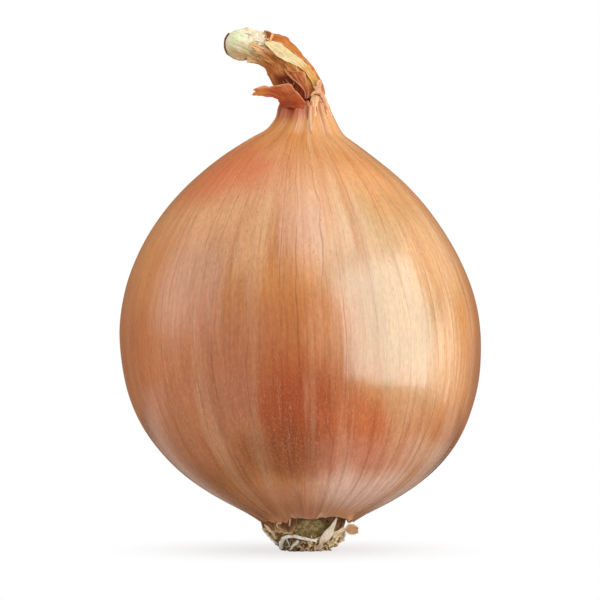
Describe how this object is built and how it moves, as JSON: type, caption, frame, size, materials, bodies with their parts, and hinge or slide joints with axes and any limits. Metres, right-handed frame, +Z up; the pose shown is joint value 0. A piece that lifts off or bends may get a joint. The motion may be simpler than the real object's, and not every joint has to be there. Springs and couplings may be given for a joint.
{
  "type": "yellow onion",
  "caption": "Whole cured yellow onion that stands on its root plate, with papery skin, dried rootlets and a bent, torn neck.",
  "frame": {"origin": "centre of the small flat under the root plate, on which the onion stands", "axes": "+Z up through the neck, -Y to the front, and the neck bends towards -X"},
  "size_m": [0.08, 0.08, 0.1165],
  "materials": {
    "skin": "satin papery skin, golden brown with fine streaks",
    "rust_leaf": "matt papery leaf, rust brown",
    "tan_leaf": "matt fibrous leaf, tan",
    "cream_leaf": "matt papery leaf, cream to gold",
    "pith": "matt dried pith, pale green cream",
    "cork": "rough cork",
    "rootlet": "matt dried root"
  },
  "bodies": {
    "root": {"bulb": "skin", "root_plate": "cork", "neck_stalk": "pith", "outer_leaf": "rust_leaf", "cream_leaf": "cream_leaf", "front_leaf": "tan_leaf", "back_leaf": "tan_leaf", "tip_leaf": "rust_leaf", "torn_cuff": "rust_leaf", "neck_knot": "cream_leaf", "hanging_strand": "cream_leaf", "root_curl_right": "cream_leaf", "root_curl_left": "cream_leaf", "rootlet_1": "rootlet", "rootlet_2": "rootlet", "rootlet_3": "rootlet", "rootlet_4": "rootlet", "rootlet_5": "rootlet", "rootlet_6": "rootlet", "rootlet_7": "rootlet", "rootlet_8": "rootlet", "rootlet_9": "rootlet", "rootlet_10": "rootlet", "rootlet_11": "rootlet", "rootlet_12": "rootlet"}
  },
  "joints": []
}
